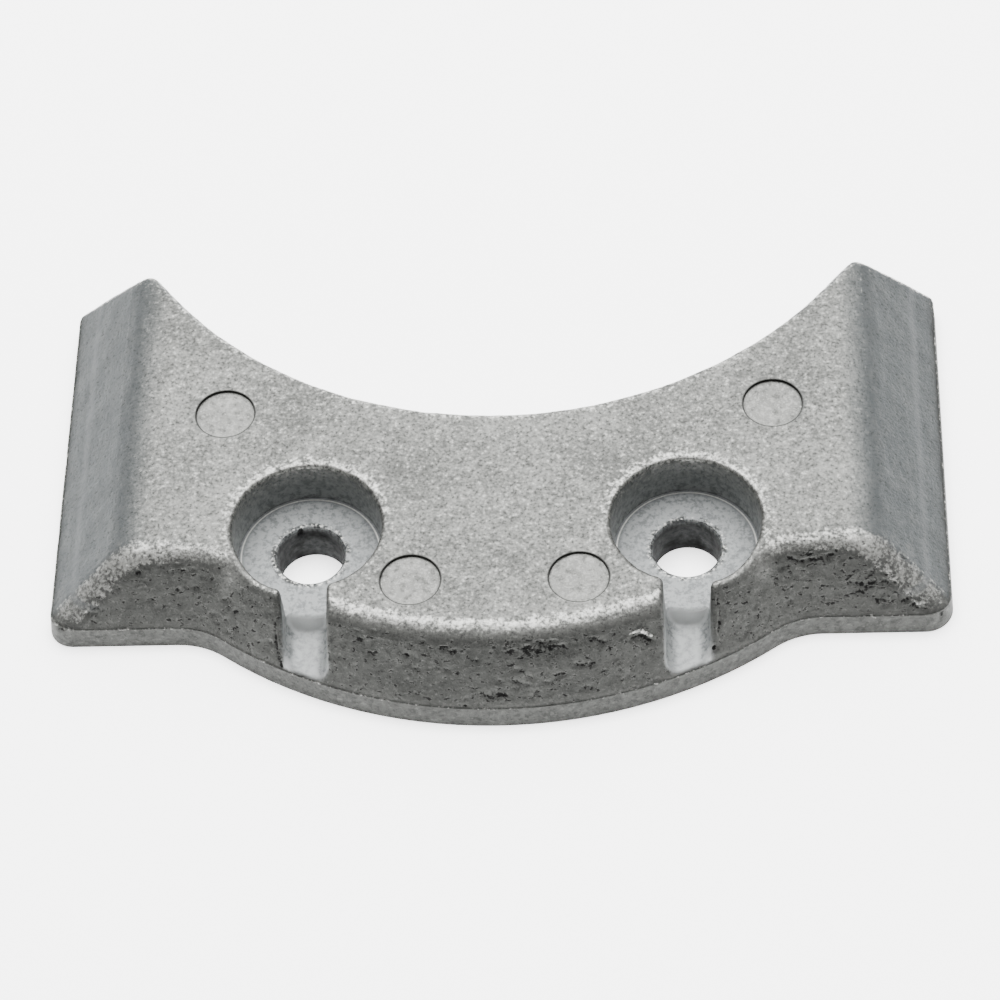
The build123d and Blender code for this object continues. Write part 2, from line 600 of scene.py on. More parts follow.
    def to_object(self, name: str, masks: "dict[Mask, np.ndarray]") -> bpy.types.Object:
        """Makes a Blender object of the skin.

        Args:
            name: Its name.
            masks: Numbers for each vertex, which the material reads by the mask's name.

        Returns:
            The object.
        """
        used, faces = np.unique(self.faces, return_inverse=True)
        faces = faces.reshape(-1, 3)
        mesh = bpy.data.meshes.new(name)
        mesh.from_pydata((self.points[used] / PER_METRE).tolist(), [], faces.tolist())
        mesh.update()
        mesh.normals_split_custom_set(self.normals.reshape(-1, 3).tolist())
        for mask, values in masks.items():
            layer = mesh.attributes.new(mask.value, "FLOAT", "POINT")
            layer.data.foreach_set("value", np.ascontiguousarray(values[used], dtype=np.float32))
        thing = bpy.data.objects.new(name, mesh)
        bpy.context.scene.collection.objects.link(thing)
        return thing


@dataclass
class Tiling:
    """How fine the skin is cut, and the even filling of its flats; lengths in millimetres.

    Attributes:
        fine: Longest edge on the front and round the pockets.
        plain: Longest edge on the top and the flanks.
        coarse: Longest edge on the underside.
        hidden: Longest edge on the saddle's wall and the back faces.
        foot: Height under which the skin counts as the underside.
        gap: Least room between a filling point and the outline, as a share of the spacing.
        widest_gap: Widest spacing that this room is worked out from.
        closeness: Spacing of the filling points, as a share of the longest edge.
        bolt_side: How far each bolt stands from the middle.
        bolt_reach: How far from a bolt the skin is cut fine.
        saddle_middle: Where the saddle's axis stands behind the bolts.
        saddle_reach: How far from that axis the saddle's wall reaches.
        saddle_top: Height of its upper edge's rounding.
        front_line: Line before which the skin is the front.
        brow_top: Height up to which it is.
    """

    fine: float = 0.5
    plain: float = 0.8
    coarse: float = 4.0
    hidden: float = 1.6
    foot: float = 0.05
    gap: float = 0.6
    widest_gap: float = 0.75
    closeness: float = 0.95
    bolt_side: float = BOLT_SIDE
    bolt_reach: float = 12.0
    saddle_middle: float = SADDLE_MIDDLE
    saddle_reach: float = 57.2
    saddle_top: float = 11.5
    front_line: float = -4.0
    brow_top: float = 12.4

    def edge_length(self, points: np.ndarray) -> np.ndarray:
        """Gives the longest edge allowed at each point.

        Args:
            points: Places.

        Returns:
            Lengths.
        """
        x, y, z = points.T
        behind = (np.hypot(x, y - self.saddle_middle) < self.saddle_reach) & (z < self.saddle_top)
        bolt = np.hypot(np.abs(x) - self.bolt_side, y) < self.bolt_reach
        front = (y < self.front_line) & (z < self.brow_top)
        length = np.where(bolt | front, self.fine, self.plain)
        length = np.where(behind, self.hidden, length)
        return np.where(z < self.foot, self.coarse, length)

    def fill(self, rim: np.ndarray, sides: np.ndarray, middle: np.ndarray) -> np.ndarray:
        """Lays out points in staggered rows inside an outline.

        Args:
            rim: Points of the outline in the flat.
            sides: The outline's sides, as pairs of its points.
            middle: A place on the flat, which sets the spacing.

        Returns:
            The filling points.
        """
        spacing = float(self.edge_length(middle[None, :])[0]) * self.closeness
        tree = KDTree(len(rim))
        for number, spot in enumerate(rim):
            tree.insert((spot[0], spot[1], 0.0), number)
        tree.balance()
        a, b = rim[sides[:, 0]], rim[sides[:, 1]]
        row_step = spacing * TRIANGLE_HEIGHT
        rows = np.arange(rim[:, 1].min() + row_step / 2.0, rim[:, 1].max(), row_step)
        kept = []
        for count, level in enumerate(rows):
            crosses = (a[:, 1] > level) != (b[:, 1] > level)
            share = (level - a[crosses, 1]) / (b[crosses, 1] - a[crosses, 1])
            stops = np.sort(a[crosses, 0] + share * (b[crosses, 0] - a[crosses, 0]))
            shift = spacing / 2.0 * (count % 2)
            for start, stop in zip(stops[::2], stops[1::2]):
                first = math.ceil((start - shift) / spacing)
                last = math.floor((stop - shift) / spacing)
                kept += [(k * spacing + shift, level) for k in range(first, last + 1)]
        room = self.gap * min(spacing, self.widest_gap)
        free = [spot for spot in kept if tree.find((*spot, 0.0))[2] > room]
        return np.array(free).reshape(-1, 2)

    @staticmethod
    def triangulate(
        rim: np.ndarray, sides: np.ndarray, inner: np.ndarray
    ) -> tuple[np.ndarray, np.ndarray]:
        """Joins the outline and its filling to triangles.

        Args:
            rim: Points of the outline.
            sides: The outline's sides.
            inner: Filling points.

        Returns:
            All points, and the triangles that lie inside the outline.
        """
        spots = np.vstack((rim, inner))
        found = delaunay_2d_cdt([Vector(spot) for spot in spots], sides.tolist(), [], KEEP_ALL, MERGE)
        origin = [names[0] if names else -1 for names in found[3]]
        faces = np.array([[origin[k] for k in face] for face in found[2]])
        faces = faces[np.all(faces >= 0, axis=1)]
        centre = spots[faces].mean(axis=1)
        a, b = spots[sides[:, 0]], spots[sides[:, 1]]
        slope = (b[:, 0] - a[:, 0]) / np.where(b[:, 1] == a[:, 1], TINY, b[:, 1] - a[:, 1])
        inside = np.zeros(len(centre), bool)
        for start in range(0, len(centre), BATCH):
            x, y = (centre[start : start + BATCH, axis, None] for axis in (0, 1))
            hits = ((a[:, 1] > y) != (b[:, 1] > y)) & (x < a[:, 0] + slope * (y - a[:, 1]))
            inside[start : start + BATCH] = hits.sum(axis=1) % 2 == 1
        faces = faces[inside]
        a, b, c = (spots[faces[:, k]] for k in range(3))
        (ux, uy), (vx, vy) = (b - a).T, (c - a).T
        turned = ux * vy < uy * vx
        faces[turned] = faces[turned][:, ::-1]
        return spots, faces


class Signal:
    """A socket that takes part in sums, so that shader maths reads as an expression.

    Attributes:
        recipe: The recipe whose nodes the socket belongs to.
        socket: The output socket.
    """

    def __init__(self, recipe: "Recipe", socket: bpy.types.NodeSocket) -> None:
        """Keeps the recipe and the socket."""
        self.recipe = recipe
        self.socket = socket

    def maths(self, operation: str, first: "Signal | float", second: "Signal | float") -> "Signal":
        """Adds one Math node.

        Args:
            operation: The node's operation.
            first: Its first value.
            second: Its second value.

        Returns:
            The result.
        """
        return self.recipe.node("ShaderNodeMath", {"operation": operation}, {0: first, 1: second})

    def __add__(self, other: "Signal | float") -> "Signal":
        """Adds."""
        return self.maths("ADD", self, other)

    def __radd__(self, other: float) -> "Signal":
        """Adds to a number."""
        return self.maths("ADD", other, self)

    def __sub__(self, other: "Signal | float") -> "Signal":
        """Subtracts."""
        return self.maths("SUBTRACT", self, other)

    def __rsub__(self, other: float) -> "Signal":
        """Subtracts from a number."""
        return self.maths("SUBTRACT", other, self)

    def __mul__(self, other: "Signal | float") -> "Signal":
        """Multiplies."""
        return self.maths("MULTIPLY", self, other)

    def __rmul__(self, other: float) -> "Signal":
        """Multiplies a number."""
        return self.maths("MULTIPLY", other, self)

    def clamped(self) -> "Signal":
        """Keeps the value between 0 and 1."""
        return self.recipe.node("ShaderNodeClamp", {}, {"Value": self})

    def through(self, *rises: Rise) -> "Signal":
        """Takes the value through rises and falls, and multiplies what they give.

        Args:
            rises: One or more of them.

        Returns:
            The product.
        """
        shares = []
        for rise in rises:
            low, high = sorted((rise.start, rise.end))
            bottom, top = (0.0, rise.top) if rise.start < rise.end else (rise.top, 0.0)
            inputs = {"Value": self, "From Min": low, "From Max": high, "To Min": bottom, "To Max": top}
            smooth = {"interpolation_type": "SMOOTHSTEP"}
            shares.append(self.recipe.node("ShaderNodeMapRange", smooth, inputs))
        return functools.reduce(operator.mul, shares)


@dataclass(frozen=True)
class Noise:
    """One size of cloudy noise.

    Attributes:
        size: Width of its lumps, in millimetres.
        detail: How many finer layers it has.
        squeeze: How close the lumps stand along x, y and z.
        roughness: Strength of each finer layer.
    """

    size: float
    detail: float = 3.0
    squeeze: tuple[float, float, float] = (1.0, 1.0, 1.0)
    roughness: float = 0.6


class Speckle(Enum):
    """The speckles in the skin, from broad clouds to fine grit."""

    BROAD = Noise(14.0, 2.0)
    CLOUD = Noise(2.6)
    RUN = Noise(1.6, squeeze=(1.0, 0.4, 1.0))
    GRIT = Noise(0.95)
    STREAK = Noise(0.55, squeeze=(0.65, 1.0, 1.0))
    FINE = Noise(0.42, 2.0)


class Mask(Enum):
    """The numbers that each vertex of the casting carries for its material."""

    # burnish from rubbing on edges and rims, and painted highlights where edges catch the light
    WEAR_AND_HIGHLIGHT = "wear_and_highlight"
    # painted shade on the front wall and the lip
    SOOTED = "sooted"
    CLUSTER = "cluster"
    FLOOR = "floor"
    # the middle of a channel's trough, where painted light goes
    LIT_TROUGH = "lit_trough"
    # a channel's step, where painted light goes
    STEP = "step"
    BOLT_GAP = "bolt_gap"
    PIN_GAP = "pin_gap"
    # painted shade on the flanks
    FLANK_SHADE = "flank_shade"
    BORE = "bore"
    POCKET = "pocket"
    # painted shade in pits, holes and grooves
    HOLLOW_SHADE = "hollow_shade"
    WALL = "wall"


class Recipe:
    """The nodes of one material.

    Attributes:
        material: The material.
        tree: Its node tree.
        shader: Its Principled shader.
    """

    def __init__(self, name: str) -> None:
        """Makes an empty material.

        Args:
            name: Name of the material.
        """
        self.material = bpy.data.materials.new(name)
        self.material.use_nodes = True
        self.tree = self.material.node_tree
        self.shader = self.tree.nodes["Principled BSDF"]

    def node(self, kind: str, settings: dict, inputs: dict, output: str | int = 0) -> Signal:
        """Adds a node of any kind.

        Args:
            kind: The node's type.
            settings: Its properties, which are set first.
            inputs: Values or signals for its sockets.
            output: Name or number of the output that is wanted.

        Returns:
            That output.
        """
        made = self.tree.nodes.new(kind)
        for name, value in settings.items():
            setattr(made, name, value)
        for name, value in inputs.items():
            self.feed(self.socket(made.inputs, name), value)
        return Signal(self, self.socket(made.outputs, output))

    @staticmethod
    def socket(sockets: bpy.types.bpy_prop_collection, key: str | int) -> bpy.types.NodeSocket:
        """Finds a socket.

        Args:
            sockets: The node's inputs or outputs.
            key: Number of the socket, or its name among those in use.

        Returns:
            The socket.
        """
        if isinstance(key, int):
            return sockets[key]
        return next(socket for socket in sockets if socket.enabled and socket.name == key)

    def feed(self, socket: bpy.types.NodeSocket, value: "Signal | float | tuple") -> None:
        """Gives a socket its value or its link.

        Args:
            socket: The input socket.
            value: A signal, a number, a vector or a colour.
        """
        if isinstance(value, Signal):
            self.tree.links.new(value.socket, socket)
        elif socket.type == "RGBA":
            socket.default_value = (*value, 1.0)
        else:
            socket.default_value = value

    def finish(self, inputs: "dict[str, Signal | float | tuple]") -> bpy.types.Material:
        """Feeds the shader.

        Args:
            inputs: Values or signals for its sockets.

        Returns:
            The material.
        """
        for name, value in inputs.items():
            self.feed(self.socket(self.shader.inputs, name), value)
        return self.material

    def mask(self, mask: Mask) -> Signal:
        """Reads one of the casting's masks."""
        return self.node("ShaderNodeAttribute", {"attribute_name": mask.value}, {}, "Fac")

    def noise(self, noise: Noise) -> Signal:
        """Adds cloudy noise.

        Args:
            noise: Its size and kind.

        Returns:
            Numbers about 0.5.
        """
        where = {0: self.node("ShaderNodeTexCoord", {}, {}, "Object"), 1: noise.squeeze}
        inputs = {
            "Vector": self.node("ShaderNodeVectorMath", {"operation": "MULTIPLY"}, where),
            "Scale": PER_METRE / noise.size,
            "Detail": noise.detail,
            "Roughness": noise.roughness,
        }
        return self.node("ShaderNodeTexNoise", {}, inputs, "Fac")

    def blend(self, share: Signal, start: "Signal | tuple", end: "Signal | tuple") -> Signal:
        """Mixes two colours."""
        inputs = {"Factor": share, "A": start, "B": end}
        return self.node("ShaderNodeMix", {"data_type": "RGBA"}, inputs, "Result")


@dataclass(frozen=True)
class Finish:
    """One state of the metal's surface.

    Attributes:
        colour: Base colour.
        roughness: Roughness.
        metallic: How much it reflects as metal.
    """

    colour: tuple[float, float, float]
    roughness: float
    metallic: float


class Skin(Enum):
    """The finishes laid on the casting, from place to place; some are painted light and shade."""

    CAST = Finish((0.115, 0.117, 0.111), 0.58, 0.80)
    CLOUDED = Finish((0.240, 0.242, 0.229), 0.50, 0.85)
    # burnish from rubbing on edges and rims, and painted highlights where edges catch the light
    WEAR_AND_HIGHLIGHT = Finish((0.62, 0.62, 0.59), 0.38, 0.95)
    # painted shade: the flanks are darkened and turned bluish because their sideways tilt puts them in
    # shade
    FLANK_SHADE = Finish((0.084, 0.093, 0.096), 0.52, 0.90)
    POCKET = Finish((0.32, 0.334, 0.335), 0.58, 0.45)
    # painted light: the channel's step and the middle of its trough are made pale as if lit
    STEP = Finish((0.54, 0.555, 0.55), 0.60, 0.15)
    SHADED = Finish((0.14, 0.148, 0.150), 0.55, 0.60)
    # painted shade on the front wall and the lip; the same dark finish also makes real dark specks and
    # spots
    SOOTED = Finish((0.042, 0.043, 0.041), 0.62, 1.00)
    # painted shade in pits, worm holes, grooves and the bolt holes
    HOLLOW_SHADE = Finish((0.008, 0.008, 0.008), 0.80, 1.00)


@dataclass(frozen=True)
class Mottle:
    """A sum of speckles.

    Attributes:
        base: The number that it starts from.
        broad: Share of the broad clouds.
        cloud: Share of the clouds.
        run: Share of the runs down the flanks.
        grit: Share of the grit.
        streak: Share of the short streaks.
        fine: Share of the fine grit.
    """

    base: float = 0.0
    broad: float = 0.0
    cloud: float = 0.0
    run: float = 0.0
    grit: float = 0.0
    streak: float = 0.0
    fine: float = 0.0


@dataclass
class CastMetal:
    """Grey cast metal with smooth pockets, ridges burnished by rubbing, painted highlights on edges,
    painted light in the channels, and painted shade on the front, the flanks and in the pits.

    A mottle is a sum of speckles. The rise that follows it says between which of its values a
    finish comes in, and how strongly. Distances are in millimetres from the axis of a pin mark
    or a bolt.

    Attributes:
        clouds: Mottle of the plain skin, and where its pale clouds come in.
        flank_shade: How strongly painted shade darkens the flanks.
        pocket_share: How much of the pockets' smooth finish shows.
        pocket_shade: Mottle of the pockets, and where its shade comes in.
        lit_step_share: How pale the painted light makes the step in a relief channel.
        trough: How pale the painted light makes the middle of the channel's trough.
        flecks: Mottle of the bright flecks, and where they come in.
        front_shade_mottle: How strongly painted shade darkens the front, broken up by the grit.
        streaks: Mottle of the pale streaks in the painted shade of the front, and where they come in.
        streak_share: How strongly they show.
        wall_streak_share: What is added to that on the front wall.
        bore: How dark the painted shade on the bolt holes' walls is.
        wear_and_highlight_mottle: Mottle that breaks up the burnished places and their painted
            highlights.
        wear_and_highlight_gain: How strongly the mask of burnish and painted highlight shows in that
            sum.
        wear_and_highlight_edge: Where the mottle counts, by that mask.
        wear_and_highlight: Where the sum turns bright, as burnish and painted highlight.
        specks: Where dark specks come in, by the fine grit.
        holes: Where worm holes come in, by the short streaks.
        hole_front_shade: What the painted shade of the front adds to that.
        hole_cluster: What a thick patch of pits adds to that.
        hole_share: How dark the painted shade in the worm holes is.
        pits: Mottle that frays the pits, and where the painted shade in them turns dark.
        pit_gain: How strongly a pit shows in that sum.
        disc: Where the disc of a pin mark lies.
        disc_pale: How much paler it is.
        disc_soot: Where its dark spots come in, by the grit.
        disc_shine: Mottle of its bright spots, and where they come in.
        disc_ring: Where the painted shade round its recessed edge lies.
        disc_ring_tone: How dark that painted shade is.
        burr: Where the burr round a bolt hole lies.
        burr_soot: Where its dark spots come in, by the grit.
        burr_shine: Where its bright spots come in, by the fine grit.
        floor_shade: Where the shade at the edge of a pocket's floor lies.
        floor_line: Where the painted highlight at that edge lies.
        floor_line_tone: How bright that painted highlight is.
        relief: Mottle of the fine relief.
        hole_relief: How much deeper the worm holes are.
        pocket_calm: How much of the relief the pockets lack.
        relief_strength: Strength of the relief.
        relief_height: Its height, in metres.
    """

    clouds: tuple[Mottle, Rise] = (
        Mottle(broad=0.16, cloud=0.14, grit=0.3, fine=0.4),
        Rise(0.40, 0.60),
    )
    # painted shade on the flanks, broken up by runs
    flank_shade: Mottle = Mottle(0.62, run=0.45)
    pocket_share: float = 0.9
    pocket_shade: tuple[Mottle, Rise] = (Mottle(grit=0.6, fine=0.4), Rise(0.56, 0.38, 0.85))
    # painted light on the channel's step
    lit_step_share: float = 0.9
    # painted light down the middle of the channel's trough
    lit_trough: Mottle = Mottle(0.1, grit=0.5)
    flecks: tuple[Mottle, Rise] = (Mottle(grit=0.4, fine=0.6), Rise(0.57, 0.68, 0.4))
    # painted shade on the front, broken up by the grit
    front_shade_mottle: Mottle = Mottle(-0.15, grit=0.9, fine=0.9)
    streaks: tuple[Mottle, Rise] = (Mottle(streak=0.5, fine=0.5), Rise(0.50, 0.66))
    streak_share: float = 0.18
    wall_streak_share: float = 0.15
    bore: Mottle = Mottle(0.65, cloud=0.5)
    wear_and_highlight_mottle: Mottle = Mottle(-1.6, grit=1.5, fine=1.7)
    wear_and_highlight_gain: float = 1.05
    wear_and_highlight_edge: Rise = Rise(0.02, 0.35)
    # burnish and painted highlight
    wear_and_highlight: Rise = Rise(0.28, 1.20, 0.9)
    specks: Rise = Rise(0.40, 0.32, 0.5)
    holes: Rise = Rise(0.66, 0.76)
    hole_front_shade: float = 0.08
    hole_cluster: float = 0.07
    hole_share: float = 0.85
    pits: tuple[Mottle, Rise] = (Mottle(-1.3, grit=1.0, fine=1.6), Rise(0.40, 0.85, 0.9))
    pit_gain: float = 0.9
    disc: Rise = Rise(3.9, 3.5)
    disc_pale: float = 0.2
    disc_soot: Rise = Rise(0.53, 0.66, 0.45)
    disc_shine: tuple[Mottle, Rise] = (Mottle(grit=0.5, fine=0.5), Rise(0.52, 0.40, 0.30))
    # painted shade round the pin mark's recessed edge
    disc_ring: tuple[Rise, Rise] = (Rise(3.80, 3.94), Rise(4.20, 4.06))
    disc_ring_tone: Mottle = Mottle(0.5, fine=0.8)
    burr: tuple[Rise, Rise] = (Rise(4.45, 4.75), Rise(5.55, 5.1))
    burr_soot: Rise = Rise(0.58, 0.42, 0.8)
    burr_shine: Rise = Rise(0.50, 0.66, 0.7)
    floor_shade: Rise = Rise(8.5, 9.3, 0.8)
    # painted highlight along the edge of the pocket floor
    floor_line: tuple[Rise, Rise] = (Rise(9.12, 9.24), Rise(9.42, 9.32))
    floor_line_tone: Mottle = Mottle(0.3, fine=1.0)
    relief: Mottle = Mottle(cloud=0.2, grit=0.5, fine=0.6)
    hole_relief: float = 0.7
    pocket_calm: float = 0.75
    relief_strength: float = 0.6
    relief_height: float = 0.00014

    def __post_init__(self) -> None:
        """Starts from the plain cast skin."""
        self.recipe = Recipe("cast_metal")
        self.speckle = {kind: self.recipe.noise(kind.value) for kind in Speckle}
        self.mask = {mask: self.recipe.mask(mask) for mask in Mask}
        self.colour: Signal | tuple = Skin.CAST.value.colour
        self.rough: Signal | float = Skin.CAST.value.roughness
        self.metal: Signal | float = Skin.CAST.value.metallic

    def add_up(self, mottle: Mottle) -> Signal:
        """Adds up the speckles of a mottle.

        Args:
            mottle: The share of each.

        Returns:
            The sum.
        """
        shares = {kind: getattr(mottle, kind.name.lower()) for kind in Speckle}
        parts = [share * self.speckle[kind] for kind, share in shares.items() if share]
        total = functools.reduce(operator.add, parts)
        return mottle.base + total if mottle.base else total

    def shown(self, sight: tuple[Mottle, Rise]) -> Signal:
        """Takes a mottle through its rise."""
        mottle, rise = sight
        return self.add_up(mottle).through(rise)

    def lay(self, skin: Skin, share: Signal) -> None:
        """Lays one finish over what is there.

        Args:
            skin: The finish.
            share: Where it shows, from 0 to 1.
        """
        finish = skin.value
        self.colour = self.recipe.blend(share, self.colour, finish.colour)
        self.rough = share * finish.roughness + (1.0 - share) * self.rough
        self.metal = share * finish.metallic + (1.0 - share) * self.metal

    def lay_ground(self) -> None:
        """Lays the pale clouds of the plain skin and the painted shade on the flanks."""
        self.lay(Skin.CLOUDED, self.shown(self.clouds))
        # painted shade on the flanks
        self.lay(Skin.FLANK_SHADE, self.mask[Mask.FLANK_SHADE] * self.add_up(self.flank_shade))

    def lay_pockets(self) -> None:
        """Lays the smooth finish of the bolt pockets, their shade, and painted light on the channels'
        steps and down the middle of their troughs.
        """
        pocket = self.mask[Mask.POCKET]
        self.lay(Skin.POCKET, pocket * self.pocket_share)
        self.lay(Skin.SHADED, pocket * self.shown(self.pocket_shade))
        # painted light on the channel's step
        self.lay(Skin.STEP, self.mask[Mask.STEP] * self.lit_step_share)
        # painted light down the middle of the channel's trough
        self.lay(Skin.STEP, self.mask[Mask.LIT_TROUGH] * self.add_up(self.lit_trough))

    def lay_flecks_and_shade(self) -> None:
        """Lays bright flecks, the painted shade of the front with its pale streaks, and painted shade
        on the bolt holes' walls.
        """
        sooted, plain = self.mask[Mask.SOOTED], 1.0 - self.mask[Mask.FLANK_SHADE]
        self.lay(Skin.WEAR_AND_HIGHLIGHT, self.shown(self.flecks) * (1.0 - self.mask[Mask.POCKET]) * plain)
        # painted shade on the front wall and the lip
        self.lay(Skin.SOOTED, (sooted * self.add_up(self.front_shade_mottle)).clamped())
        strength = self.streak_share + self.wall_streak_share * self.mask[Mask.WALL]
        self.lay(Skin.CLOUDED, self.shown(self.streaks) * sooted * strength)
        # painted shade on the bolt holes' walls
        self.lay(Skin.HOLLOW_SHADE, self.mask[Mask.BORE] * self.add_up(self.bore))

    def lay_wear_and_highlights(self) -> None:
        """Lays the ridges and rims that rubbing burnished, with painted highlights where their edges
        catch the light, and dark specks elsewhere.
        """
        wear_and_highlight, fine = self.mask[Mask.WEAR_AND_HIGHLIGHT], self.speckle[Speckle.FINE]
        worn_and_lit = self.wear_and_highlight_gain * wear_and_highlight + self.add_up(self.wear_and_highlight_mottle) * wear_and_highlight.through(self.wear_and_highlight_edge)
        # burnish and painted highlights on ridges, rims and edges
        self.lay(Skin.WEAR_AND_HIGHLIGHT, worn_and_lit.through(self.wear_and_highlight))
        outer = 1.0 - self.mask[Mask.POCKET]
        self.lay(Skin.SOOTED, fine.through(self.specks) * outer * (1.0 - wear_and_highlight))

    def lay_pits(self) -> Signal:
        """Lays painted shade in the worm holes and the pits.

        Returns:
            Where the worm holes are.
        """
        extra = self.hole_front_shade * self.mask[Mask.SOOTED] + self.hole_cluster * self.mask[Mask.CLUSTER]
        holes = (self.speckle[Speckle.STREAK] + extra).through(self.holes) * self.mask[Mask.WALL]
        # painted shade in the worm holes
        self.lay(Skin.HOLLOW_SHADE, holes * self.hole_share)
        fray, turn = self.pits
        pits = self.pit_gain * self.mask[Mask.HOLLOW_SHADE] + self.add_up(fray)
        # painted shade in the pits
        self.lay(Skin.HOLLOW_SHADE, pits.through(turn))
        return holes

    def lay_rings(self) -> None:
        """Lays the discs of the pin marks with painted shade round their recessed edges, the burrs, and
        the pocket floors' edges with their shade and a painted highlight line.
        """
        pin, bolt, floor = (self.mask[mask] for mask in (Mask.PIN_GAP, Mask.BOLT_GAP, Mask.FLOOR))
        grit, fine = self.speckle[Speckle.GRIT], self.speckle[Speckle.FINE]
        disc = pin.through(self.disc)
        self.lay(Skin.CLOUDED, disc * self.disc_pale)
        self.lay(Skin.SOOTED, disc * grit.through(self.disc_soot))
        self.lay(Skin.WEAR_AND_HIGHLIGHT, disc * self.shown(self.disc_shine))
        # painted shade round the recessed edge of the pin mark
        self.lay(Skin.SOOTED, pin.through(*self.disc_ring) * self.add_up(self.disc_ring_tone))
        burr = bolt.through(*self.burr) * floor
        self.lay(Skin.SOOTED, burr * grit.through(self.burr_soot))
        self.lay(Skin.WEAR_AND_HIGHLIGHT, burr * fine.through(self.burr_shine))
        self.lay(Skin.SHADED, bolt.through(self.floor_shade) * floor)
        line = bolt.through(*self.floor_line) * floor
        # painted highlight along the edge of the pocket floor
        self.lay(Skin.WEAR_AND_HIGHLIGHT, line * self.add_up(self.floor_line_tone))

    def build(self) -> bpy.types.Material:
        """Lays the finishes in order and joins them to the shader.

        Returns:
            The material.
        """
        self.lay_ground()
        self.lay_pockets()
        self.lay_flecks_and_shade()
        self.lay_wear_and_highlights()
        holes = self.lay_pits()
        self.lay_rings()
        height = self.add_up(self.relief) - self.hole_relief * holes
        height = height * (1.0 - self.pocket_calm * self.mask[Mask.POCKET])
        bump = {"Strength": self.relief_strength, "Distance": self.relief_height, "Height": height}
        return self.recipe.finish(
            {
                "Base Color": self.colour,
                "Roughness": self.rough,
                "Metallic": self.metal,
                "Normal": self.recipe.node("ShaderNodeBump", {}, bump, "Normal"),
            }
        )


@dataclass(frozen=True)
class Flaw:
    """A pit, a nick or a line in the skin.

    Attributes:
        start: Where it starts, in millimetres.
        end: Where it ends; the same place for a pit.
        radius: Half its width.
        depth: How deep it goes; a negative depth raises the skin.
        dark: How dark its painted shade is, from 0 to 1; below 0 it gets a painted highlight instead.
    """

    FULL: ClassVar[float] = 0.25  # share of the radius inside which it is at its deepest

    start: tuple[float, float, float]
    end: tuple[float, float, float]
    radius: float
    depth: float
    dark: float

    def share(self, points: np.ndarray) -> np.ndarray:
        """Works out how much of the flaw each point has.

        Args:
            points: Places.

        Returns:
            Shares from 0 to 1.
        """
        start, way = np.array(self.start), np.subtract(self.end, self.start)
        along = np.clip((points - start) @ way / max(float(way @ way), TINY), 0.0, 1.0)
        far = np.linalg.norm(points - start - along[:, None] * way, axis=1)
        return Rise(self.radius, self.FULL * self.radius).over(far)


